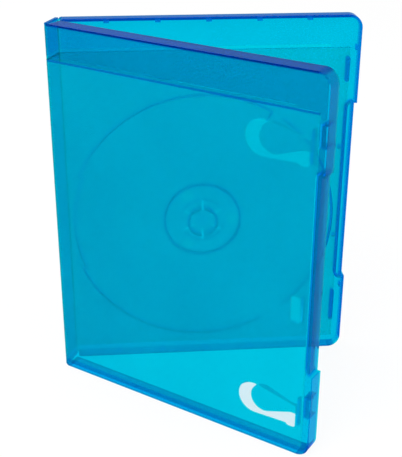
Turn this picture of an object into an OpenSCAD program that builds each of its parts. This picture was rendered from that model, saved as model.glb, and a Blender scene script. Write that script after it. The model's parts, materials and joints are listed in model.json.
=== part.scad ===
// Hinged case for one 120 mm optical disc, standing open on its bottom edge.
// One moulding: a back tray with the disc nest, a spine and a front cover, joined by two living
// hinges, with a clear sleeve film around the outside.
//
// Each panel is drawn lying flat in its own s-d-z space: s runs from its hinge axis to its free
// edge, d from its outer film face into the case, and z up the case. A placing module then swings
// it to where the half-open case holds it.

/* [Case] */
// Height of the case
case_h = 171.5; // [165:0.5:185]
// Width from the back of the spine to the opening edge
case_w = 135; // [133:0.5:150]
// Thickness of the closed case
case_t = 13; // [12:0.25:16]
// Thickness of the flat panels
plate_t = 1; // [0.8:0.1:1.3]
// Thickness of the rim around each panel
wall_t = 1.2; // [0.8:0.1:1.6]
// Depth of the tray's rim, from the film face
tray_d = 4.6; // [4.4:0.1:5.2]
// Gap between the two rims when closed
part_gap = 0.3; // [0.2:0.1:0.5]
// Corner radius at the opening edge
corner_r = 6; // [3:0.5:10]
// Corner radius beside the hinges
hinge_corner_r = 1.5; // [0.5:0.25:2.5]

/* [Pose as photographed] */
// Angle by which the rear hinge stands open
rear_open = 23.6; // [5:0.1:90]
// Angle by which the front hinge stands open
front_open = 13.7; // [5:0.1:90]

/* [Living hinges] */
// Thickness of the hinge web
web_t = 0.4; // [0.3:0.05:0.6]
// Gap between the hinge bead and the next panel's web
web_clear = 0.15; // [0.1:0.05:0.25]
// Clearance between neighbouring plates when closed
hinge_clear = 0.4; // [0.3:0.05:0.6]

/* [Thumb notch] */
// Length of the notch, centred on the height
notch_len = 90; // [60:1:96]
// How far the edge steps in along the notch
notch_in = 1.4; // [0.6:0.1:2]
// Distance from the edge to the tray's rib behind the notch
notch_rib_in = 5.5; // [5:0.25:7]
// Distance from the edge to the cover's rib behind the notch
cover_rib_in = 4.6; // [4.4:0.1:5.4]
// Thickness of these ribs
notch_rib_t = 1.2; // [0.8:0.1:1.6]
// Corner radius of these ribs
notch_rib_r = 3.6; // [2:0.2:4.4]

/* [Disc nest] */
// Diameter of the disc
disc_d = 120; // [118:0.5:121]
// Radial room between the disc and the ring
disc_room = 2.6; // [1.6:0.1:3]
// Gap from the hinge axis to the ring
ring_margin = 0.6; // [0.2:0.1:1.5]
// Height of the disc's centre above the bottom edge
hub_z = 73; // [70:0.2:90]
// Thickness of the ring rib
ring_t = 1; // [0.6:0.1:1.4]
// Height of the ring rib above the plate
ring_h = 2.6; // [1.5:0.1:3]
// Step inwards of the ring at the spine-side finger room
scoop_in = 1.8; // [1:0.1:2.4]
// Half the angle that this step takes
scoop_half_deg = 22; // [15:1:30]
// Angle where the upper gap in the ring starts
gap_high_deg = 53.4; // [48:0.2:60]
// Width of the upper gap as an angle
gap_high_w = 6; // [3:0.2:8]
// Angle where the lower gap in the ring ends, measured downwards
gap_low_deg = 50.4; // [45:0.2:55]
// Width of the lower gap as an angle
gap_low_w = 10.4; // [5:0.2:14]
// Length of the short rib at the upper gap
gap_rib_len = 5; // [3:0.5:7]
// Length of the raised bar below the hub
bar_len = 20; // [12:0.5:24]
// Distance of that bar below the hub's centre
bar_drop = 23.8; // [22:0.1:30]

/* [Hub] */
// Radius of the seat that the disc rests on
seat_r = 19; // [18:0.25:21]
// Height of the seat above the plate
seat_h = 1.6; // [1.4:0.1:3]
// Wall thickness of the seat
seat_t = 1; // [0.8:0.1:1.2]
// Outer radius of the press button
button_r = 10.4; // [9.5:0.1:10.8]
// Gap around the press button
button_clear = 0.3; // [0.2:0.05:0.4]
// Outer radius of the finger ring
spigot_r = 7.4; // [7:0.05:7.45]
// Thickness of the fingers
finger_t = 1.2; // [0.8:0.1:1.6]
// Height of the fingers above the seat
finger_h = 3; // [2:0.1:4]
// Radius of the press pad in the middle
press_r = 3.6; // [3:0.1:4]
// Width of the slots between the fingers
slot_w = 1.1; // [0.6:0.1:1.5]
// Radius at which the slots start
slot_in_r = 4.7; // [4.3:0.1:5.2]
// Number of fingers
fingers = 6; // [4:1:8]
// Width of the windows in the seat
window_w = 5.4; // [4:0.1:6]
// Length of these windows along the radius
window_len = 5.6; // [4:0.1:6]
// Thickness of the floor left under these windows
window_floor = 0.4; // [0.3:0.05:0.6]

/* [Booklet clips] */
// Height of the lower clip above the bottom edge
clip_low_z = 20.6; // [18:0.2:26]
// Distance of the upper clip below the top edge
clip_high_drop = 30.2; // [26:0.2:34]
// Distance from the opening edge to the clip's root
clip_root_in = 7.2; // [6.8:0.1:8.5]
// Length of the opening under a clip
clip_hole_len = 28.4; // [26:0.2:31]
// Height of that opening at its round end
clip_hole_h = 15.6; // [15:0.2:16.4]
// Height of that opening at its waist
clip_hole_waist_h = 14.2; // [13:0.2:15]
// Height of that opening at its root
clip_hole_root_h = 16.4; // [15.6:0.2:18]
// Length of the tongue
tongue_len = 23; // [20:0.2:25]
// Radius of the tongue's head
tongue_r = 6.6; // [5:0.1:7.2]
// Half width of the tongue's neck
neck_half = 2.4; // [2:0.1:4]
// Length of the tongue's neck
neck_len = 3.4; // [2:0.1:5]
// Gap between the plate and the tongue for the booklet
tongue_lift = 1.6; // [1.2:0.1:2.4]
// Thickness of the tongue
tongue_t = 1; // [0.8:0.1:1.3]
// Gap between the tongue's neck and the upper side of its opening
clip_side_gap = 1; // [0.6:0.1:1.6]
// Gap between the tongue and the wall that carries it
tongue_gap = 0.25; // [0.2:0.05:0.4]

/* [Latches] */
// Middle height of the lower latch
latch_low_z = 24; // [20:0.5:26]
// Length of the lower latch
latch_low_len = 17; // [10:0.5:19]
// Distance of the upper latch below the top edge
latch_high_drop = 25; // [22:0.5:28]
// Length of the upper latch
latch_high_len = 11.5; // [8:0.5:14]
// Thickness of the latch post on the tray
latch_t = 1.8; // [1.2:0.1:2]
// Distance from the opening edge to that post
latch_in = 4.4; // [4.2:0.1:5]
// Length of the lower latch box on the cover
keeper_low_len = 11; // [8:0.5:16]
// Length of the upper latch box on the cover
keeper_high_len = 10; // [8:0.5:14]
// Width of the latch boxes
keeper_w = 4; // [3.6:0.1:5]
// Wall thickness of the latch boxes
keeper_t = 1; // [0.8:0.1:1.2]

/* [Ribs and windows] */
// Number of locating ribs along the top and the bottom
rib_count = 5; // [3:1:7]
// Distance from the first to the last of these ribs
rib_span = 89.7; // [80:0.1:96]
// Distance from the hinge axis to the first rib
rib_start = 21.2; // [15:0.1:24]
// Length of a locating rib along the rim
rib_len = 2.4; // [1.5:0.1:3.5]
// How far a locating rib stands out of the rim
rib_out = 1; // [0.6:0.1:1.4]
// Distance of the edge ribs below the top and above the lower latch
edge_rib_drop = 15; // [13:0.5:18]
// Radius of the two small pips beside the notch
pip_r = 1.1; // [0.8:0.1:1.4]
// Distance from the middle height to each pip
pip_off = 23; // [18:0.5:30]
// Height of the cover's small window above the bottom edge
slit_z = 70.8; // [68:0.2:80]
// Length of that window
slit_len = 12; // [8:0.5:14]
// Width of that window
slit_w = 4.6; // [3:0.1:5]
// Distance from the opening edge to that window
slit_in = 7.6; // [7.4:0.1:9]

/* [Sleeve film] */
// Thickness of the clear film
film_t = 0.15; // [0.1:0.05:0.25]
// How far the header band and its frame stand proud of the film face
band_h = 0.4; // [0.3:0.05:0.6]
// Height of the header band at the top
header_h = 14.2; // [10:0.2:18]
// Height of the band along the bottom edge
foot_h = 4; // [3:0.2:6]
// Width of the band along the opening edge
edge_band_w = 3.4; // [2.6:0.1:4]
// Distance from the opening edge to the header's stepped end
hook_in = 12.4; // [9:0.1:14]
// Drop of that step
hook_drop = 1.2; // [0.8:0.1:2]
// Gap between the film and the bands
film_gap = 0.2; // [0.1:0.05:0.4]

/* [Hidden] */
$fn = 96;

// A cut reaches this far past the face that it opens
over = 1;
// A piece that joins another is sunk this far into it
bite = 0.2;

// Depth of a hinge axis below the film face
axis_d = web_t / 2;
// Distance between the film faces when closed
face_gap = case_t - 2 * band_h;
// Distance from the rear hinge axis to the front one
axis_gap = face_gap - web_t;
// Distance from a hinge axis to the opening edge
edge_s = case_w - band_h - axis_d;
// Where a panel has its full thickness, clear of the folded spine
panel_s = plate_t - axis_d + hinge_clear;
// Where a panel's web starts, clear of the spine's bead
web_s = axis_d + web_clear;
// Where the spine has its full thickness, clear of the panels' webs
spine_s = axis_d + hinge_clear;
// Depth of the cover's rim from the film face
cover_d = face_gap - tray_d - part_gap;
// The origin lies in the middle of the tray's bottom face
origin_s = (panel_s + edge_s) / 2;
origin_d = tray_d / 2;

notch_low = (case_h - notch_len) / 2;
notch_high = notch_low + notch_len;

ring_r = disc_d / 2 + disc_room;
hub_s = ring_margin + ring_r + ring_t / 2;
ring_top = plate_t + ring_h;
ring_step_deg = asin(ring_t / ring_r);
seat_top = plate_t + seat_h;
seat_under = seat_top - seat_t;
window_r = seat_r - seat_t - window_len / 2 - 0.4;
window_corner = 1.6;
seat_rib_w = 0.8;
seat_rib_h = 0.3;
seat_rib_in_r = button_r + button_clear + 0.9;
seat_bar_w = 5;
seat_bar_t = 0.9;
press_pad_h = 0.5;

clip_high_z = case_h - clip_high_drop;
clip_root_s = edge_s - clip_root_in;
hole_r = clip_hole_h / 2;
hole_s = clip_root_s - clip_hole_len + hole_r;
clip_root_len = 5.2;
clip_root_r = 2;
tongue_tip_s = clip_root_s - tongue_gap - tongue_len;
tongue_d = plate_t + tongue_lift;
clip_wall_t = 1.2;

latch_high_z = case_h - latch_high_drop;
latch_top = tray_d - 0.4;
keeper_top = cover_d - 0.4;

film_low = foot_h + film_gap;
film_high = case_h - header_h - hook_drop - film_gap;
film_edge = edge_s - edge_band_w - film_gap;
film_start = web_s;

rib_pitch = rib_span / (rib_count - 1);
rib_top = tray_d - 0.6;
pip_h = 1.6;
bar_w = 0.9;
bar_h = 0.4;
slit_web_t = 0.8;
slit_web_h = 2.2;

case_blue = [0.02, 0.55, 0.8, 0.7];
film_clear = [0.9, 0.95, 1, 0.3];

// Placing of each panel

module in_tray() {
    translate([-origin_s, origin_d, 0]) mirror([0, 1, 0]) children();
}

module in_spine() {
    translate([-origin_s, origin_d - axis_d, 0])
        rotate([0, 0, -90 - rear_open])
            translate([0, -axis_d, 0]) children();
}

module in_cover() {
    in_spine()
        translate([axis_gap, axis_d, 0])
            rotate([0, 0, 90 - front_open])
                translate([0, -axis_d, 0]) children();
}

// Flat shapes in the s-z plane, and the slab that gives them depth

module slab(d0, d1) {
    translate([0, d1, 0]) rotate([90, 0, 0]) linear_extrude(d1 - d0) children();
}

module corner_waste(s, z, ds, dz, r) {
    if (r > 0) {
        difference() {
            translate([s + (ds < 0 ? -r : -over), z + (dz < 0 ? -r : -over)]) square(r + over);
            translate([s + ds * r, z + dz * r]) circle(r);
        }
    }
}

// Rectangle with a radius for each corner: low left, high left, low right, high right
module rounded(s0, s1, z0, z1, r) {
    difference() {
        translate([s0, z0]) square([s1 - s0, z1 - z0]);
        corner_waste(s0, z0, 1, 1, r[0]);
        corner_waste(s0, z1, 1, -1, r[1]);
        corner_waste(s1, z0, -1, 1, r[2]);
        corner_waste(s1, z1, -1, -1, r[3]);
    }
}

module block(s0, s1, z0, z1) {
    translate([s0, z0]) square([s1 - s0, z1 - z0]);
}

module sector(r, a0, a1) {
    steps = ceil((a1 - a0) / 20);
    far = r / cos((a1 - a0) / steps / 2);
    polygon(concat([[0, 0]], [for (i = [0:steps])
        let (a = a0 + (a1 - a0) * i / steps) [far * cos(a), far * sin(a)]]));
}

// A round head and the two tangents that run from it to a narrower end
module teardrop(head_s, r, end_s, half) {
    reach = end_s - head_s;
    lean = atan2(half, reach) + acos(r / norm([reach, half]));
    union() {
        translate([head_s, 0]) circle(r);
        polygon([
            [head_s + r * cos(lean), r * sin(lean)], [end_s, half],
            [end_s, -half], [head_s + r * cos(lean), -r * sin(lean)]
        ]);
    }
}

// Shared parts of the two panels

module panel_outline() {
    difference() {
        rounded(panel_s, edge_s, 0, case_h,
                [hinge_corner_r, hinge_corner_r, corner_r, corner_r]);
        block(edge_s - notch_in, edge_s + over, notch_low, notch_high);
    }
}

module band_outline() {
    intersection() {
        difference() {
            rounded(web_s, edge_s, 0, case_h,
                    [hinge_corner_r, hinge_corner_r, corner_r, corner_r]);
            rounded(web_s - over, edge_s - edge_band_w, foot_h, case_h - header_h - hook_drop,
                    [0, 0, 1, 1]);
            rounded(web_s - over, edge_s - hook_in, foot_h + over, case_h - header_h,
                    [0, 0, 0, hook_drop]);
        }
        difference() {
            block(0, edge_s, 0, case_h);
            block(edge_s - notch_in, edge_s + over, notch_low, notch_high);
        }
    }
}

module notch_pocket(rib_in, inset, s_end, r_high) {
    rounded(edge_s - rib_in + inset, s_end,
            notch_low - notch_rib_t + inset, notch_high + notch_rib_t - inset,
            [notch_rib_r - inset, r_high - inset, 0, 0]);
}

module cavity(rib_in, r_high) {
    inner_r = corner_r - wall_t;
    difference() {
        rounded(panel_s - over, edge_s - wall_t, wall_t, case_h - wall_t,
                [0, 0, inner_r, inner_r]);
        notch_pocket(rib_in, 0, edge_s, r_high);
    }
    notch_pocket(rib_in, notch_rib_t, edge_s - notch_in - wall_t, r_high);
}

module shell(depth, rib_in, r_high) {
    difference() {
        union() {
            slab(0, depth) panel_outline();
            slab(-band_h, bite) band_outline();
        }
        slab(plate_t, depth + over) cavity(rib_in, r_high);
    }
    slab(0, web_t) block(web_s, panel_s + bite, hinge_corner_r, case_h - hinge_corner_r);
}

// Tray

// A disc that steps in at the spine side
module stepped_disc(r, half_deg) {
    difference() {
        circle(r);
        difference() {
            sector(r + over, 180 - half_deg, 180 + half_deg);
            circle(r - scoop_in);
        }
    }
}

module disc_ring() {
    gap_end = gap_high_deg + gap_high_w;
    slab(plate_t - bite, ring_top) translate([hub_s, hub_z]) difference() {
        stepped_disc(ring_r + ring_t / 2, scoop_half_deg);
        stepped_disc(ring_r - ring_t / 2, scoop_half_deg + ring_step_deg);
        sector(ring_r + over, gap_high_deg, gap_end);
        sector(ring_r + over, -gap_low_deg - gap_low_w, -gap_low_deg);
    }
    slab(plate_t - bite, ring_top) translate([hub_s, hub_z]) rotate(gap_end)
        block(ring_r - gap_rib_len, ring_r, -ring_t / 2, ring_t / 2);
}

module seat_window() {
    rounded(window_r - window_len / 2, window_r + window_len / 2, -window_w / 2, window_w / 2,
            [window_corner, window_corner, window_corner, window_corner]);
}

module seat_marks() {
    slab(seat_top - bite, seat_top + seat_rib_h) translate([hub_s, hub_z])
        for (a = [60, 180, 300]) rotate(a) {
            block(seat_rib_in_r, seat_r - seat_t / 2, -seat_rib_w / 2, seat_rib_w / 2);
            block(seat_rib_in_r, seat_rib_in_r + seat_bar_t, -seat_bar_w / 2, seat_bar_w / 2);
        }
}

module hub_cuts() {
    slab(-over, seat_under) translate([hub_s, hub_z]) circle(seat_r - seat_t);
    slab(seat_under - over, seat_top + over) translate([hub_s, hub_z])
        circle(button_r + button_clear);
    slab(seat_under + window_floor, seat_top + over) translate([hub_s, hub_z])
        for (a = [0, 120, 240]) rotate(a) seat_window();
}

module latch_post(z, len) {
    slab(plate_t - bite, latch_top)
        rounded(edge_s - latch_in - latch_t, edge_s - latch_in, z - len / 2, z + len / 2,
                [latch_t / 3, latch_t / 3, latch_t / 3, latch_t / 3]);
}

module locating_ribs() {
    slab(plate_t - bite, rib_top) {
        for (i = [0:rib_count - 1]) {
            s = rib_start + i * rib_pitch;
            for (z = [wall_t - bite, case_h - wall_t - rib_out])
                block(s - rib_len / 2, s + rib_len / 2, z, z + rib_out + bite);
        }
        for (z = [case_h - edge_rib_drop, notch_low - notch_rib_t - rib_len - 1.6])
            block(edge_s - wall_t - rib_out, edge_s - wall_t + bite,
                  z - rib_len / 2, z + rib_len / 2);
    }
}

module back_tray() {
    color(case_blue) in_tray() {
        difference() {
            union() {
                shell(tray_d, notch_rib_in, notch_rib_r);
                slab(0, seat_top) translate([hub_s, hub_z]) circle(seat_r);
            }
            hub_cuts();
        }
        disc_ring();
        seat_marks();
        latch_post(latch_low_z, latch_low_len);
        latch_post(latch_high_z, latch_high_len);
        locating_ribs();
        slab(plate_t - bite, plate_t + pip_h)
            for (z = [case_h / 2 - pip_off, case_h / 2 + pip_off])
                translate([edge_s - notch_rib_in - pip_r + bite, z]) circle(pip_r);
        slab(plate_t - bite, plate_t + bar_h) translate([hub_s, hub_z - bar_drop])
            block(-bar_len / 2, bar_len / 2, -bar_w / 2, bar_w / 2);
    }
}

module finger_slots() {
    for (i = [0:fingers - 1])
        rotate((i + 0.5) * 360 / fingers)
            block(slot_in_r, button_r + over, -slot_w / 2, slot_w / 2);
}

module hub_button() {
    color(case_blue) in_tray() {
        slab(seat_under, seat_top) translate([hub_s, hub_z]) difference() {
            circle(button_r);
            finger_slots();
        }
        slab(seat_top - bite, seat_top + finger_h) translate([hub_s, hub_z]) difference() {
            circle(spigot_r);
            circle(spigot_r - finger_t);
            finger_slots();
        }
        slab(seat_top - bite, seat_top + press_pad_h) translate([hub_s, hub_z]) circle(press_r);
    }
}

// Spine

module spine() {
    color(case_blue) in_spine() {
        slab(0, plate_t) block(spine_s, axis_gap - spine_s, 0, case_h);
        slab(0, web_t) block(0, axis_gap, hinge_corner_r, case_h - hinge_corner_r);
        for (s = [0, axis_gap])
            translate([s, axis_d, hinge_corner_r])
                cylinder(r = axis_d, h = case_h - 2 * hinge_corner_r);
        slab(-band_h, bite) {
            block(spine_s, axis_gap - spine_s, 0, foot_h);
            block(spine_s, axis_gap - spine_s, case_h - header_h, case_h);
        }
    }
}

// Cover

module clip_hole(z) {
    translate([0, z]) {
        teardrop(hole_s, hole_r, clip_root_s, neck_half + clip_side_gap);
        intersection() {
            union() {
                teardrop(hole_s, hole_r, clip_root_s - clip_root_len / 2, clip_hole_waist_h / 2);
                rounded(clip_root_s - clip_root_len, clip_root_s,
                        -clip_hole_root_h / 2, clip_hole_root_h / 2,
                        [clip_root_r, clip_root_r, clip_root_r, clip_root_r]);
            }
            block(hole_s - hole_r, clip_root_s, -clip_hole_root_h, 0);
        }
    }
}

module clip_wall(z) {
    slab(plate_t - bite, tongue_d + tongue_t)
        block(clip_root_s, clip_root_s + clip_wall_t,
              z - clip_hole_waist_h / 2, z + clip_hole_waist_h / 2);
}

module keeper(z, len) {
    slab(plate_t - bite, keeper_top) difference() {
        block(edge_s - keeper_w, edge_s - wall_t + bite, z - len / 2, z + len / 2);
        block(edge_s - keeper_w + keeper_t, edge_s + over,
              z - len / 2 + keeper_t, z + len / 2 - keeper_t);
    }
}

module front_cover() {
    square_r = notch_rib_t + 0.3;
    color(case_blue) in_cover() {
        difference() {
            shell(cover_d, cover_rib_in, square_r);
            slab(-over, plate_t + over) {
                clip_hole(clip_low_z);
                clip_hole(clip_high_z);
                rounded(edge_s - slit_in - slit_w, edge_s - slit_in,
                        slit_z - slit_len / 2, slit_z + slit_len / 2, [1, 1, 1, 1]);
            }
        }
        clip_wall(clip_low_z);
        clip_wall(clip_high_z);
        keeper(latch_low_z, keeper_low_len);
        keeper(latch_high_z, keeper_high_len);
        slab(plate_t - bite, plate_t + slit_web_h)
            block(edge_s - slit_in, edge_s - slit_in + slit_web_t,
                  slit_z - slit_len / 2, slit_z + slit_len / 2);
    }
}

module tongue(z) {
    end_s = clip_root_s - tongue_gap;
    neck_s = end_s - neck_len;
    color(case_blue) in_cover() translate([0, 0, z]) union() {
        slab(tongue_d, tongue_d + tongue_t)
            teardrop(tongue_tip_s + tongue_r, tongue_r, neck_s, neck_half);
        slab(tongue_d, tongue_d + tongue_t)
            block(neck_s - bite, end_s, -neck_half, neck_half);
    }
}

module clip_upper() {
    tongue(clip_high_z);
}

module clip_lower() {
    tongue(clip_low_z);
}

// Sleeve film

module film_sheet(s1) {
    slab(-film_t, 0) block(film_start, s1, film_low, film_high);
}

module film_back() {
    color(film_clear) in_tray() film_sheet(film_edge);
}

module film_spine() {
    color(film_clear) in_spine() film_sheet(axis_gap - film_start);
}

module film_front() {
    color(film_clear) in_cover() film_sheet(film_edge);
}

back_tray();
spine();
front_cover();
hub_button();
clip_upper();
clip_lower();
film_back();
film_spine();
film_front();
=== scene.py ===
"""Dresses the hinged see-through disc case and stands it on a plain pale floor."""

import json
import logging
import math
from dataclasses import dataclass
from enum import Enum
from typing import Any, Sequence

import bmesh
import bpy
from mathutils import Matrix, Vector


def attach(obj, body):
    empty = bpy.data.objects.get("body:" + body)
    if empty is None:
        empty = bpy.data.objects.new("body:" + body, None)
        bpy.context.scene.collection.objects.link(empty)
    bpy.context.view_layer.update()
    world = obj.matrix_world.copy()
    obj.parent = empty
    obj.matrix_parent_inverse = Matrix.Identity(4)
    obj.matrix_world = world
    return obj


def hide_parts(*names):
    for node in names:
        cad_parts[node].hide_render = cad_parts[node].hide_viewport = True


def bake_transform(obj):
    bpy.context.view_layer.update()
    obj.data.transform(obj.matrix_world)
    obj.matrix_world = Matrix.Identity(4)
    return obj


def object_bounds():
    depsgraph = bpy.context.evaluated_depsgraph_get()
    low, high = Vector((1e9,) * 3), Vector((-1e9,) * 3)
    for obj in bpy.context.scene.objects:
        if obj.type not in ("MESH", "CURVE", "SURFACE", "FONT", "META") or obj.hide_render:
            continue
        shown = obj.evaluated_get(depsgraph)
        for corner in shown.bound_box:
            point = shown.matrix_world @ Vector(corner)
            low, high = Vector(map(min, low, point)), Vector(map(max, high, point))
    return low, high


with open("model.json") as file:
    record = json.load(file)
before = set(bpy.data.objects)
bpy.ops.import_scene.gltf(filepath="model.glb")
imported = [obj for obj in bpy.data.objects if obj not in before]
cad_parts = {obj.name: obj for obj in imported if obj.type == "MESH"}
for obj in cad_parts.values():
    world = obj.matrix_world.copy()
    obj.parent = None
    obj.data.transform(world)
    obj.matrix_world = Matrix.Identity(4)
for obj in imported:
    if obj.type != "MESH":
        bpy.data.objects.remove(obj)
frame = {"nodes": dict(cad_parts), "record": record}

LOG = logging.getLogger("disc_case")
MM = 0.001
CASE_BOX = [list(corner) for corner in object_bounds()]

Point = tuple[float, float, float]
Colour = tuple[float, float, float, float]
WHITE: Colour = (1.0, 1.0, 1.0, 1.0)


class Body(Enum):
    """The moving bodies that a new piece can ride on."""

    TRAY = "tray"
    SPINE = "spine"
    COVER = "cover"


class Slot(Enum):
    """The record's material slots."""

    CASE = "case_plastic"
    FILM = "sleeve_film"


# Shader building


class Wire:
    """A shader socket that adds Math nodes when it is used in an expression."""

    def __init__(self, shader: "NodeTree", socket: bpy.types.NodeSocket) -> None:
        """Keeps the socket and the tree that it belongs to."""
        self.shader = shader
        self.socket = socket

    def _math(self, operation: str, first: Any, second: Any) -> "Wire":
        """Adds one Math node.

        Args:
            operation: the node's operation.
            first: a number or a Wire.
            second: a number or a Wire.

        Returns:
            The node's result.
        """
        return self.shader.add("ShaderNodeMath", {"operation": operation}, {0: first, 1: second})

    def __add__(self, other: Any) -> "Wire":
        """self + other"""
        return self._math("ADD", self, other)

    def __radd__(self, other: Any) -> "Wire":
        """other + self"""
        return self._math("ADD", other, self)

    def __sub__(self, other: Any) -> "Wire":
        """self - other"""
        return self._math("SUBTRACT", self, other)

    def __rsub__(self, other: Any) -> "Wire":
        """other - self"""
        return self._math("SUBTRACT", other, self)

    def __mul__(self, other: Any) -> "Wire":
        """self * other"""
        return self._math("MULTIPLY", self, other)

    def __rmul__(self, other: Any) -> "Wire":
        """other * self"""
        return self._math("MULTIPLY", other, self)

    def size(self) -> "Wire":
        """The value without its sign."""
        return self._math("ABSOLUTE", self, 0.0)

    def root(self) -> "Wire":
        """The square root."""
        return self._math("SQRT", self, 0.0)

    def at_most(self, other: Any) -> "Wire":
        """The smaller of the two."""
        return self._math("MINIMUM", self, other)

    def at_least(self, other: Any) -> "Wire":
        """The larger of the two."""
        return self._math("MAXIMUM", self, other)


class NodeTree:
    """A shader node tree, of a material or of the world."""

    def __init__(self, tree: bpy.types.NodeTree, output: str) -> None:
        """Empties the tree and gives it an output node.

        Args:
            tree: the tree.
            output: the output node's type.
        """
        self.tree = tree
        self.tree.nodes.clear()
        self.output = self.tree.nodes.new(output)

    def add(
        self,
        kind: str,
        settings: dict[str, Any] | None = None,
        inputs: dict[Any, Any] | None = None,
        result: Any = 0,
    ) -> Wire:
        """Adds any node.

        Args:
            kind: the node's type.
            settings: the node's own settings, set before its sockets.
            inputs: socket name or index to a value or a Wire.
            result: name or index of the output to hand back.

        Returns:
            That output.
        """
        node = self.tree.nodes.new(kind)
        for key, value in (settings or {}).items():
            setattr(node, key, value)
        for key, value in (inputs or {}).items():
            if isinstance(value, Wire):
                self.tree.links.new(value.socket, node.inputs[key])
            else:
                node.inputs[key].default_value = value
        return Wire(self, node.outputs[result])

    def ray_kinds(self) -> list[Wire]:
        """Masks of the rays by which the backdrop is seen.

        Returns:
            1 or 0 for camera, glossy and transmission rays.
        """
        path = self.tree.nodes.new("ShaderNodeLightPath")
        names = ("Is Camera Ray", "Is Glossy Ray", "Is Transmission Ray")
        return [Wire(self, path.outputs[name]) for name in names]

    def surface(self, shader: Wire) -> None:
        """Links the output's surface.

        Args:
            shader: the surface shader.
        """
        self.tree.links.new(shader.socket, self.output.inputs["Surface"])


class Shader(NodeTree):
    """One material and its node tree."""

    def __init__(self, name: str) -> None:
        """Makes an empty material with an output node.

        Args:
            name: the material's name.
        """
        self.material = bpy.data.materials.new(name)
        self.material.use_nodes = True
        super().__init__(self.material.node_tree, "ShaderNodeOutputMaterial")

    def place(self) -> Wire:
        """Object coordinates, in metres."""
        return self.add("ShaderNodeTexCoord", result="Object")

    def along(self, axis: str) -> Wire:
        """One Object coordinate, in metres.

        Args:
            axis: X, Y or Z.

        Returns:
            The coordinate.
        """
        return self.add("ShaderNodeSeparateXYZ", inputs={"Vector": self.place()}, result=axis)

    def noise(self, scale: float, detail: float) -> Wire:
        """Smooth noise.

        Args:
            scale: cells to a metre.
            detail: octaves.

        Returns:
            A value around one half.
        """
        return self.add(
            "ShaderNodeTexNoise",
            {"noise_dimensions": "3D"},
            {"Vector": self.place(), "Scale": scale, "Detail": detail},
            result="Fac",
        )

    def blend(self, factor: Wire, low: Any, high: Any) -> Wire:
        """A colour between two.

        Args:
            factor: 0 gives low, 1 gives high.
            low: the first colour, or a Wire.
            high: the second colour, or a Wire.

        Returns:
            The mixed colour.
        """
        return self.add("ShaderNodeMix", {"data_type": "RGBA"}, {0: factor, 6: low, 7: high}, 2)

    def bump(self, height: Wire, distance: float, strength: float = 1.0) -> Wire:
        """A normal from a height.

        Args:
            height: the height, 0 to 1.
            distance: metres for a height of 1.
            strength: share of the effect.

        Returns:
            The normal.
        """
        return self.add(
            "ShaderNodeBump",
            inputs={"Height": height, "Distance": distance, "Strength": strength},
        )

    def finish(self, surface: Wire, volume: Wire | None = None) -> bpy.types.Material:
        """Links the output.

        Args:
            surface: the surface shader.
            volume: the volume shader.

        Returns:
            The material.
        """
        self.surface(surface)
        if volume is not None:
            self.tree.links.new(volume.socket, self.output.inputs["Volume"])
        return self.material


# Finishes


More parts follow.
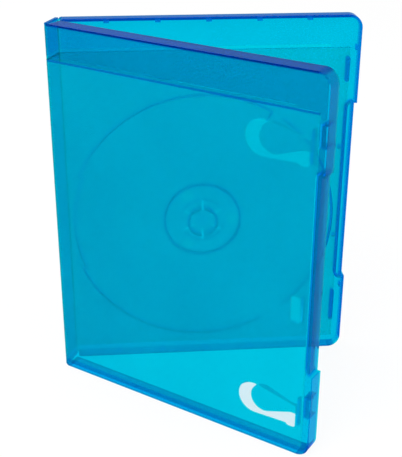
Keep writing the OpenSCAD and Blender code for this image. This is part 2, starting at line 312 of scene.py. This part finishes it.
@dataclass(frozen=True)
class TintedPlastic:
    """See-through moulded plastic with a fine pitted grain, painted shade along its foot and top
    edge, and painted shade lines on the hub's round steps where rings are given.
    """

    name: str = "tinted_plastic"
    deep: Colour = (0.0, 0.70, 0.72, 1.0)
    light: Colour = (0.0, 0.86, 0.82, 1.0)
    # Painted shade: the dark blue that the foot and the top edge turn to, for the dark outline that
    # light bending at the rounded edges gives, and at the foot the floor's contact shadow
    edge: Colour = (0.0, 0.22, 0.50, 1.0)
    shade_band: float = 1.4 * MM
    shade_core: float = 2.0
    height: float = CASE_BOX[1][2]
    clearness: float = 0.94
    refraction: float = 1.05
    gloss: float = 0.015
    grain_gloss: float = 0.03
    gloss_tint: Colour = (0.05, 0.5, 0.8, 1.0)
    absorb: Colour = (0.0, 0.80, 0.98, 1.0)
    absorb_density: float = 1500.0
    # Painted shade: darker blue on the hub's round steps, for the dark lines that the step walls
    # show as light passes through them at a slant
    ring_shade: Colour = (0.0, 0.22, 0.60, 1.0)
    rings: tuple[tuple[float, float], ...] = ()
    centre: tuple[float, float] = (0.0, 0.0)
    cloud_scale: float = 45.0
    cloud_detail: float = 3.0
    grain_scale: float = 1400.0
    grain_detail: float = 1.0
    grain_depth: float = 0.003 * MM

    def build(self) -> bpy.types.Material:
        """Makes the finish.

        Returns:
            The material.
        """
        shader = Shader(self.name)
        cloud = shader.noise(self.cloud_scale, self.cloud_detail)
        grain = shader.noise(self.grain_scale, self.grain_detail)
        mottle = (cloud + grain) * 0.5
        body = shader.blend(mottle, self.deep, self.light)
        # Painted shade lines on the hub's round steps
        if self.rings:
            body = shader.blend(self.ring_shade_mask(shader), body, self.ring_shade)
        surface = shader.add(
            "ShaderNodeBsdfPrincipled",
            inputs={
                # Painted shade along the foot and the top edge
                "Base Color": shader.blend(self.edge_shade_mask(shader), body, self.edge),
                "Roughness": grain * self.grain_gloss + self.gloss,
                "IOR": self.refraction,
                "Specular Tint": self.gloss_tint,
                "Transmission Weight": self.clearness,
                "Normal": shader.bump(grain, self.grain_depth),
            },
        )
        volume = shader.add(
            "ShaderNodeVolumeAbsorption",
            inputs={"Color": self.absorb, "Density": self.absorb_density},
        )
        return shader.finish(surface, volume)

    def ring_shade_mask(self, shader: Shader) -> Wire:
        """How near a point is to a moulded step around the hub, where painted shade darkens the
        colour.

        Args:
            shader: the shader to add the nodes to.

        Returns:
            1 on a ring, 0 away from all of them.
        """
        across = shader.along("X") - self.centre[0]
        up = shader.along("Z") - self.centre[1]
        reach = (across * across + up * up).root()
        near = [1.0 - (reach - radius).size() * (1.0 / half) for radius, half in self.rings]
        mask = near[0]
        for other in near[1:]:
            mask = mask.at_least(other)
        return mask.at_least(0.0).at_most(1.0)

    def edge_shade_mask(self, shader: Shader) -> Wire:
        """How far the painted shade along the foot and the top edge reaches.

        Args:
            shader: the shader to add the nodes to.

        Returns:
            1 at the very edge, 0 past the band.
        """
        z = shader.along("Z")
        low = 1.0 - z * (1.0 / self.shade_band)
        high = 1.0 - (self.height - z) * (1.0 / self.shade_band)
        return (low.at_least(high).at_least(0.0) * self.shade_core).at_most(1.0)


@dataclass(frozen=True)
class ClearFilm:
    """Thin clear sleeve film with faint waves."""

    name: str = "clear_film"
    low: Colour = (0.0, 0.40, 0.54, 1.0)
    high: Colour = (0.0, 0.48, 0.62, 1.0)
    cover: float = 0.17
    cover_swing: float = 0.06
    gloss: float = 0.12
    gloss_swing: float = 0.1
    refraction: float = 1.1
    gloss_tint: Colour = (0.0, 0.5, 0.8, 1.0)
    wave_scale: float = 22.0
    wave_detail: float = 2.0
    wave_depth: float = 0.25 * MM

    def build(self) -> bpy.types.Material:
        """Makes the finish.

        Returns:
            The material.
        """
        shader = Shader(self.name)
        wave = shader.noise(self.wave_scale, self.wave_detail)
        surface = shader.add(
            "ShaderNodeBsdfPrincipled",
            inputs={
                "Base Color": shader.blend(wave, self.low, self.high),
                "Roughness": wave * self.gloss_swing + self.gloss,
                "IOR": self.refraction,
                "Specular Tint": self.gloss_tint,
                "Alpha": wave * self.cover_swing + (self.cover - self.cover_swing / 2),
                "Normal": shader.bump(wave, self.wave_depth),
            },
        )
        return shader.finish(surface)


@dataclass(frozen=True)
class PaleBackdrop:
    """Plain white that the camera, gloss and clear plastic see at full strength."""

    name: str = "pale_backdrop"
    colour: Colour = (0.9, 0.9, 0.9, 1.0)
    plain_share: float = 0.9

    def build(self) -> bpy.types.Material:
        """Makes the finish.

        Returns:
            The material.
        """
        shader = Shader(self.name)
        camera, glossy, through = shader.ray_kinds()
        share = through.at_least(camera.at_least(glossy) * self.plain_share)
        diffuse = shader.add("ShaderNodeBsdfDiffuse", inputs={"Color": self.colour})
        plain = shader.add("ShaderNodeEmission", inputs={"Color": WHITE, "Strength": 1.0})
        mixed = shader.add("ShaderNodeMixShader", inputs={0: share, 1: diffuse, 2: plain})
        return shader.finish(mixed)


# Panels and their places


@dataclass(frozen=True)
class Panel:
    """The flat space of one panel: s from its hinge axis, d inwards from the film face, z up.

    Lengths are in mm, and along is the way of s in degrees.
    """

    body: Body
    axis: tuple[float, float]
    along: float
    mirrored: bool
    axis_depth: float = 0.2

    def vectors(self) -> tuple[Vector, Vector]:
        """The panel's directions.

        Returns:
            s and d in the row frame, one long.
        """
        angle = math.radians(self.along)
        s = Vector((math.cos(angle), math.sin(angle), 0))
        d = Vector((-s.y, s.x, 0))
        return s, -d if self.mirrored else d

    def at(self, s: float, d: float, z: float) -> Vector:
        """A point of the panel.

        Args:
            s: mm from the hinge axis.
            d: mm inwards from the film face.
            z: mm up.

        Returns:
            The point in the row frame, in metres.
        """
        s_way, d_way = self.vectors()
        flat = s_way * s + d_way * (d - self.axis_depth)
        return Vector((self.axis[0] + flat.x, self.axis[1] + flat.y, z)) * MM


def joint_axis(name: str) -> tuple[float, float]:
    """Where a hinge's axis stands.

    Args:
        name: the joint.

    Returns:
        x and y in mm.
    """
    for joint in frame["record"]["behaviour"]["joints"]:
        if joint["name"] == name:
            return joint["pos_m"][0] / MM, joint["pos_m"][1] / MM
    raise KeyError(name)


def mount_place(name: str) -> tuple[float, float]:
    """Where a mount of the tray sits on its plate.

    Args:
        name: the mount.

    Returns:
        x and z in metres.
    """
    for mount in frame["record"]["mounts"]:
        if mount["name"] == name:
            return mount["pos_m"][0], mount["pos_m"][2]
    raise KeyError(name)


REAR_AXIS = joint_axis("rear_hinge")
FRONT_AXIS = joint_axis("front_hinge")
# How far the case stands open at its two hinges, in degrees
REAR_OPEN = 23.6
FRONT_OPEN = 13.7
SPINE_ALONG = -90 - REAR_OPEN
COVER_ALONG = SPINE_ALONG + 90 - FRONT_OPEN
TRAY = Panel(Body.TRAY, REAR_AXIS, 0.0, True)
SPINE = Panel(Body.SPINE, REAR_AXIS, SPINE_ALONG, False)
COVER = Panel(Body.COVER, FRONT_AXIS, COVER_ALONG, False)
# Radius and half width of the painted shade lines on the hub's three round steps, in metres
HUB_RINGS = ((18.0 * MM, 0.8 * MM), (10.5 * MM, 0.6 * MM), (6.8 * MM, 0.9 * MM))


def new_piece(
    name: str,
    points: Sequence[Vector],
    faces: Sequence[Sequence[int]],
    material: bpy.types.Material,
) -> bpy.types.Object:
    """A mesh object at the origin.

    Args:
        name: the piece's name.
        points: corners in the row frame, in metres.
        faces: corner numbers of each face.
        material: its finish.

    Returns:
        The object.
    """
    mesh = bpy.data.meshes.new(name)
    mesh.from_pydata([tuple(p) for p in points], [], [tuple(f) for f in faces])
    body = bmesh.new()
    body.from_mesh(mesh)
    bmesh.ops.recalc_face_normals(body, faces=body.faces)
    body.to_mesh(mesh)
    body.free()
    mesh.materials.append(material)
    piece = bpy.data.objects.new(name, mesh)
    bpy.context.scene.collection.objects.link(piece)
    return piece


# Sub-assemblies


@dataclass
class FoldedStrip:
    """A thin strip around the outside of one hinge axis, curved to the hinge's present opening; in
    mm.
    """

    name: str
    first: Panel
    second: Panel
    axis: tuple[float, float]
    inner_r: float
    outer_r: float
    flap: float
    z_low: float
    z_high: float
    steps: int = 10
    same_axis: float = 1.0

    def outward(self, panel: Panel) -> float:
        """Angle of a panel's outward normal, in degrees."""
        way = -panel.vectors()[1]
        return math.degrees(math.atan2(way.y, way.x)) % 360

    def profile(self) -> list[tuple[Vector, Vector]]:
        """The strip's section, from the first panel across the hinge to the second.

        Returns:
            Pairs of inner and outer points, in mm.
        """
        centre = Vector((self.axis[0], self.axis[1], 0))
        start, end = self.outward(self.first), self.outward(self.second)
        pairs = []
        for i in range(self.steps + 1):
            angle = math.radians(start + (end - start) * i / self.steps)
            way = Vector((math.cos(angle), math.sin(angle), 0))
            pairs.append((centre + way * self.inner_r, centre + way * self.outer_r))
        first_flap = self.flap_way(self.first, centre)
        second_flap = self.flap_way(self.second, centre)
        pairs.insert(0, tuple(p + first_flap for p in pairs[0]))
        pairs.append(tuple(p + second_flap for p in pairs[-1]))
        return pairs

    def flap_way(self, panel: Panel, centre: Vector) -> Vector:
        """How a flap runs from the axis into a panel.

        Args:
            panel: the panel.
            centre: the hinge's axis, in mm.

        Returns:
            The way, as long as the flap.
        """
        s_way = panel.vectors()[0]
        starts_here = (Vector((panel.axis[0], panel.axis[1], 0)) - centre).length < self.same_axis
        return s_way * (self.flap if starts_here else -self.flap)

    def build(self, material: bpy.types.Material, slot: Slot) -> bpy.types.Object:
        """Makes the strip.

        Args:
            material: its finish.
            slot: not used.

        Returns:
            The strip, fixed in the row frame.
        """
        pairs = self.profile()
        points: list[Vector] = []
        for inner, outer in pairs:
            for z in (self.z_low, self.z_high):
                points += [Vector((p.x, p.y, z)) * MM for p in (inner, outer)]
        faces: list[tuple[int, ...]] = []
        last = 4 * (len(pairs) - 1)
        for k in range(0, last, 4):
            for a, b in ((0, 1), (1, 3), (3, 2), (2, 0)):
                faces.append((k + a, k + b, k + b + 4, k + a + 4))
        faces += [(0, 2, 3, 1), (last, last + 1, last + 3, last + 2)]
        piece = new_piece(self.name, points, faces, material)
        start = (pairs[0][0] + pairs[0][1]) / 2
        end = (pairs[-1][0] + pairs[-1][1]) / 2
        tuple(start * MM)
        tuple(end * MM)
        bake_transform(piece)
        return piece


@dataclass
class HingeLine:
    """The two strips over one hinge, in mm: the moulding's thin web and the film over it."""

    name: str
    first: Panel
    second: Panel
    axis: tuple[float, float]
    web_r: float = 0.2
    web_skin: float = 0.03
    film_t: float = 0.09
    web_z: tuple[float, float] = (1.5, 170.0)
    film_z: tuple[float, float] = (4.2, 155.9)
    flap: float = 0.36

    def build(
        self, plastic: bpy.types.Material, film: bpy.types.Material
    ) -> list[bpy.types.Object]:
        """Makes both strips.

        Args:
            plastic: the case's finish.
            film: the sleeve's finish.

        Returns:
            The two strips.
        """
        skin_r = self.web_r + self.web_skin
        common = {
            "first": self.first,
            "second": self.second,
            "axis": self.axis,
            "flap": self.flap,
        }
        web = FoldedStrip(
            name=f"{self.name}_web",
            inner_r=self.web_r,
            outer_r=skin_r,
            z_low=self.web_z[0],
            z_high=self.web_z[1],
            **common,
        )
        fold = FoldedStrip(
            name=f"{self.name}_film",
            inner_r=skin_r,
            outer_r=self.web_r + self.film_t,
            z_low=self.film_z[0],
            z_high=self.film_z[1],
            **common,
        )
        return [web.build(plastic, Slot.CASE), fold.build(film, Slot.FILM)]


class DashRow:
    """Geometry Nodes tree that lays a row of small dashes, as a heat-sealed film edge has."""

    INPUTS: dict[str, tuple[str, Any]] = {
        "Start": ("NodeSocketVector", (0.0, 0.0, 0.0)),
        "Step": ("NodeSocketVector", (0.0, 0.0, 0.002)),
        "Count": ("NodeSocketInt", 10),
        "Dash": ("NodeSocketVector", (0.001, 0.0001, 0.0003)),
        "Turn": ("NodeSocketFloat", 0.0),
        "Shortest": ("NodeSocketFloat", 0.9),
        "Longest": ("NodeSocketFloat", 1.05),
        "Seed": ("NodeSocketInt", 7),
        "Finish": ("NodeSocketMaterial", None),
    }

    def __init__(self) -> None:
        """Builds the tree."""
        self.tree = bpy.data.node_groups.new("sealed_dashes", "GeometryNodeTree")
        self.sockets: dict[str, str] = {}
        for name, (kind, value) in self.INPUTS.items():
            socket = self.tree.interface.new_socket(name=name, in_out="INPUT", socket_type=kind)
            if value is not None:
                socket.default_value = value
            self.sockets[name] = socket.identifier
        self.tree.interface.new_socket(
            name="Geometry", in_out="OUTPUT", socket_type="NodeSocketGeometry"
        )
        nodes, links = self.tree.nodes, self.tree.links
        given = nodes.new("NodeGroupInput")
        handed = nodes.new("NodeGroupOutput")
        line = nodes.new("GeometryNodeMeshLine")
        cube = nodes.new("GeometryNodeMeshCube")
        turn = nodes.new("ShaderNodeCombineXYZ")
        length = nodes.new("FunctionNodeRandomValue")
        length.data_type = "FLOAT"
        place = nodes.new("GeometryNodeInstanceOnPoints")
        real = nodes.new("GeometryNodeRealizeInstances")
        paint = nodes.new("GeometryNodeSetMaterial")
        links.new(given.outputs["Count"], line.inputs["Count"])
        links.new(given.outputs["Start"], line.inputs["Start Location"])
        links.new(given.outputs["Step"], line.inputs["Offset"])
        links.new(given.outputs["Dash"], cube.inputs["Size"])
        links.new(given.outputs["Turn"], turn.inputs["Z"])
        links.new(given.outputs["Shortest"], length.inputs[2])
        links.new(given.outputs["Longest"], length.inputs[3])
        links.new(given.outputs["Seed"], length.inputs["Seed"])
        links.new(line.outputs["Mesh"], place.inputs["Points"])
        links.new(cube.outputs["Mesh"], place.inputs["Instance"])
        links.new(turn.outputs["Vector"], place.inputs["Rotation"])
        links.new(length.outputs[1], place.inputs["Scale"])
        links.new(place.outputs["Instances"], real.inputs["Geometry"])
        links.new(real.outputs["Geometry"], paint.inputs["Geometry"])
        links.new(given.outputs["Finish"], paint.inputs["Material"])
        links.new(paint.outputs["Geometry"], handed.inputs["Geometry"])

    def row(self, values: dict[str, Any]) -> bpy.types.Mesh:
        """Evaluates one row.

        Args:
            values: input name to value.

        Returns:
            The row as a plain mesh.
        """
        blank = bpy.data.meshes.new("blank")
        host = bpy.data.objects.new("row_host", blank)
        bpy.context.scene.collection.objects.link(host)
        modifier = host.modifiers.new("sealed", "NODES")
        modifier.node_group = self.tree
        for name, value in values.items():
            modifier[self.sockets[name]] = value
        graph = bpy.context.evaluated_depsgraph_get()
        graph.update()
        mesh = bpy.data.meshes.new_from_object(host.evaluated_get(graph), depsgraph=graph)
        host.modifiers.remove(modifier)
        bpy.data.objects.remove(host)
        return mesh


@dataclass
class SealedEdge:
    """The heat-sealed dashes along the foot and the free edge of one film sheet, in mm."""

    name: str
    panel: Panel
    film_t: float = 0.15
    s_low: float = 3.0
    s_high: float = 129.6
    z_low: float = 5.6
    z_high: float = 154.0
    pitch: float = 2.1
    dash: Point = (1.4, 0.05, 0.3)
    corner_s: float = 0.6
    corner_z: float = 1.2
    shortest: float = 0.9
    longest: float = 1.05
    seed: int = 7

    def build(self, rows: DashRow, material: bpy.types.Material) -> bpy.types.Object:
        """Makes the dashes of one sheet.

        Args:
            rows: the tree that lays a row.
            material: the film's finish.

        Returns:
            One piece that rides with the sheet.
        """
        joined = bmesh.new()
        turn = math.radians(self.panel.along)
        depth = -self.film_t - self.dash[1] / 2
        s_way = self.panel.vectors()[0]
        upright = (self.dash[2], self.dash[1], self.dash[0])
        runs = (
            (
                self.panel.at(self.s_low, depth, self.z_low),
                s_way,
                self.s_high - self.s_low,
                self.dash,
            ),
            (
                self.panel.at(self.s_high + self.corner_s, depth, self.z_low + self.corner_z),
                Vector((0, 0, 1)),
                self.z_high - self.z_low,
                upright,
            ),
        )
        for start, way, length, size in runs:
            mesh = rows.row(
                {
                    "Start": tuple(start),
                    "Step": tuple(way * self.pitch * MM),
                    "Count": int(length / self.pitch),
                    "Dash": tuple(x * MM for x in size),
                    "Turn": turn,
                    "Shortest": self.shortest,
                    "Longest": self.longest,
                    "Seed": self.seed,
                    "Finish": material,
                }
            )
            joined.from_mesh(mesh)
            bpy.data.meshes.remove(mesh)
        mesh = bpy.data.meshes.new(self.name)
        bmesh.ops.recalc_face_normals(joined, faces=joined.faces)
        joined.to_mesh(mesh)
        joined.free()
        mesh.materials.append(material)
        piece = bpy.data.objects.new(self.name, mesh)
        bpy.context.scene.collection.objects.link(piece)
        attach(piece, self.panel.body.value)
        return piece


@dataclass
class SleeveSheet:
    """One flat sheet of the sleeve, a hair off its panel, with a band along its top edge whose own
    finish paints shade there, and on the back sheet a highlight; in mm.
    """

    name: str
    panel: Panel
    node: str
    lift: float = 0.03
    film_t: float = 0.15
    band_height: float = 0.9
    band_skin: float = 0.03

    def reach(self) -> tuple[float, float, float, float]:
        """How far the sheet's node reaches on its panel.

        Returns:
            Lowest and highest s, then lowest and highest z, in mm.
        """
        s_way = self.panel.vectors()[0]
        axis = Vector((self.panel.axis[0], self.panel.axis[1], 0))
        corners = [corner.co / MM for corner in frame["nodes"][self.node].data.vertices]
        along = [(Vector((c.x, c.y, 0)) - axis).dot(s_way) for c in corners]
        heights = [c.z for c in corners]
        return min(along), max(along), min(heights), max(heights)

    def block(
        self,
        name: str,
        span: tuple[float, float, float, float],
        depth: tuple[float, float],
        material: bpy.types.Material,
    ) -> bpy.types.Object:
        """A thin block in the panel's space that rides with the panel.

        Args:
            name: the piece's name.
            span: lowest and highest s, then lowest and highest z, in mm.
            depth: outer and inner depth, in mm.
            material: its finish.

        Returns:
            The block.
        """
        s0, s1, z0, z1 = span
        outline = ((s0, z0), (s1, z0), (s1, z1), (s0, z1))
        points = [self.panel.at(s, d, z) for d in depth for s, z in outline]
        faces = [(0, 1, 2, 3), (4, 5, 6, 7)]
        faces += [(k, (k + 1) % 4, (k + 1) % 4 + 4, k + 4) for k in range(4)]
        piece = new_piece(name, points, faces, material)
        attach(piece, self.panel.body.value)
        return piece

    def build(self, film: bpy.types.Material, band_shade_and_glint: bpy.types.Material) -> list[bpy.types.Object]:
        """Makes the sheet and its top band.

        Args:
            film: the sheet's finish.
            band_shade_and_glint: the top band's finish, which paints shade on the front and spine
                sheets and a highlight on the back sheet.

        Returns:
            Both pieces; the sheet stands for its node.
        """
        s0, s1, z0, z1 = self.reach()
        outer = -self.film_t
        sheet = self.block(
            self.name, (s0, s1, z0, z1 - self.band_height), (outer + self.band_skin, -self.lift), film
        )
        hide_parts(self.node)
        # The top band: painted shade on the front and spine sheets, a painted highlight on the back
        # sheet
        band = self.block(
            f"{self.name}_hem", (s0, s1, z1 - self.band_height, z1), (outer, -self.lift), band_shade_and_glint
        )
        return [sheet, band]


@dataclass
class Moulding:
    """Moulded nodes, which keep their shapes and take the plastic's finish."""

    nodes: tuple[str, ...]

    def dress(self, plastic: bpy.types.Material) -> None:
        """Puts the finish in the nodes' slots.

        Args:
            plastic: the case's finish.
        """
        for name in self.nodes:
            for slot in frame["nodes"][name].material_slots:
                slot.material = plastic
            LOG.info("dressed %s", name)


@dataclass(frozen=True)
class Lamp:
    """A soft square lamp, in metres and watts."""

    name: str
    at: Point
    aim: Point
    size: float
    power: float

    def build(self) -> None:
        """Makes the lamp and turns it to its aim."""
        data = bpy.data.lights.new(self.name, "AREA")
        data.shape, data.size, data.energy = "SQUARE", self.size, self.power
        lamp = bpy.data.objects.new(self.name, data)
        lamp.location = self.at
        way = Vector(self.aim) - Vector(self.at)
        lamp.rotation_mode = "QUATERNION"
        lamp.rotation_quaternion = way.to_track_quat("-Z", "Y")
        bpy.context.scene.collection.objects.link(lamp)


@dataclass
class Studio:
    """Floor, lights and the camera at the photograph's angle.

    The eye and the sensor are in mm, the turns in radians, the other lengths in metres.
    """

    eye: Point = (-41.117, -423.685, 271.476)
    yaw: float = 0.0854144
    pitch: float = 0.4455303
    roll: float = 0.0040824
    focal_px: float = 975.947
    long_side_px: float = 457.0
    sensor: float = 36.0
    near: float = 0.01
    far: float = 20.0
    dome: float = 0.75
    floor_half: float = 3.0
    lamps: tuple[Lamp, ...] = (
        Lamp("key_lamp", at=(-0.7, -0.9, 1.1), aim=(-0.02, -0.02, 0.08), size=0.9, power=14.0),
        Lamp("fill_lamp", at=(1.0, -0.7, 0.7), aim=(0.0, -0.03, 0.08), size=1.0, power=8.0),
        Lamp("rear_lamp", at=(-1.1, 0.9, 0.5), aim=(0.0, 0.0, 0.1), size=0.8, power=6.0),
    )

    def build_camera(self) -> None:
        """Makes the camera."""
        way = Vector(
            (
                math.sin(self.yaw) * math.cos(self.pitch),
                math.cos(self.yaw) * math.cos(self.pitch),
                -math.sin(self.pitch),
            )
        )
        right = way.cross(Vector((0, 0, 1))).normalized()
        up = right.cross(way)
        turned = right * math.cos(self.roll) + up * math.sin(self.roll)
        upright = up * math.cos(self.roll) - right * math.sin(self.roll)
        data = bpy.data.cameras.new("photo_camera")
        data.sensor_width = self.sensor
        data.lens = self.sensor * self.focal_px / self.long_side_px
        data.clip_start, data.clip_end = self.near, self.far
        camera = bpy.data.objects.new("photo_camera", data)
        turn = Matrix((turned, upright, -way)).transposed().to_4x4()
        camera.matrix_world = Matrix.Translation(Vector(self.eye) * MM) @ turn
        bpy.context.scene.collection.objects.link(camera)
        bpy.context.scene.camera = camera

    def build_floor(self) -> None:
        """Makes the pale floor."""
        h = self.floor_half
        corners = [Vector((x, y, 0)) for x, y in ((-h, -h), (h, -h), (h, h), (-h, h))]
        floor = new_piece("floor", corners, [(0, 1, 2, 3)], PaleBackdrop().build())

    def build_world(self) -> None:
        """Makes the dome: white where it is seen, softer where it lights."""
        world = bpy.data.worlds.new("dome")
        world.use_nodes = True
        bpy.context.scene.world = world
        sky = NodeTree(world.node_tree, "ShaderNodeOutputWorld")
        camera, glossy, through = sky.ray_kinds()
        strength = camera.at_least(glossy).at_least(through) * (1.0 - self.dome) + self.dome
        sky.surface(sky.add("ShaderNodeBackground", inputs={"Color": WHITE, "Strength": strength}))

    def build(self) -> None:
        """Makes the whole studio."""
        bpy.context.scene.view_settings.view_transform = "Standard"
        self.build_camera()
        self.build_floor()
        self.build_world()
        for lamp in self.lamps:
            lamp.build()
        LOG.info("built the studio")


def main() -> None:
    """Builds the scene in order and reports each piece."""
    logging.basicConfig(level=logging.INFO, format="%(message)s")
    Studio().build()
    plastic, film = TintedPlastic().build(), ClearFilm().build()
    # Painted shade: a dark, denser band along the top of the front and spine sheets, for the dark
    # line that the film's top edge and the header's step show
    front_band_shade = ClearFilm(
        name="front_band_shade", low=(0.0, 0.12, 0.42, 1.0), high=(0.0, 0.16, 0.48, 1.0), cover=0.6
    ).build()
    # Painted highlight: a paler band along the top of the back sheet, for the light line that the
    # film's top edge reflects
    back_band_glint = ClearFilm(
        name="back_band_glint", low=(0.1, 0.6, 0.75, 1.0), high=(0.2, 0.7, 0.82, 1.0), cover=0.4
    ).build()
    # The tray and the hub button take painted shade lines on the hub's round steps
    ring_shaded = TintedPlastic(name="ring_shaded_plastic", rings=HUB_RINGS, centre=mount_place("hub_spigot"))
    Moulding(("back_tray", "hub_button")).dress(ring_shaded.build())
    Moulding(("spine", "front_cover", "clip_upper", "clip_lower")).dress(plastic)
    for sheet, band_shade_and_glint in (
        (SleeveSheet("sleeve_back", TRAY, "film_back", band_height=0.4), back_band_glint),
        (SleeveSheet("sleeve_spine", SPINE, "film_spine"), front_band_shade),
        (SleeveSheet("sleeve_front", COVER, "film_front"), front_band_shade),
    ):
        for piece in sheet.build(film, band_shade_and_glint):
            LOG.info("built %s", piece.name)
    hinges = (
        HingeLine("rear_fold", TRAY, SPINE, REAR_AXIS),
        HingeLine("front_fold", COVER, SPINE, FRONT_AXIS),
    )
    for hinge in hinges:
        for piece in hinge.build(plastic, film):
            LOG.info("built %s", piece.name)
    rows = DashRow()
    for edge in (SealedEdge("seal_back", TRAY), SealedEdge("seal_front", COVER)):
        LOG.info("built %s", edge.build(rows, film).name)


if __name__ == "__main__":
    main()
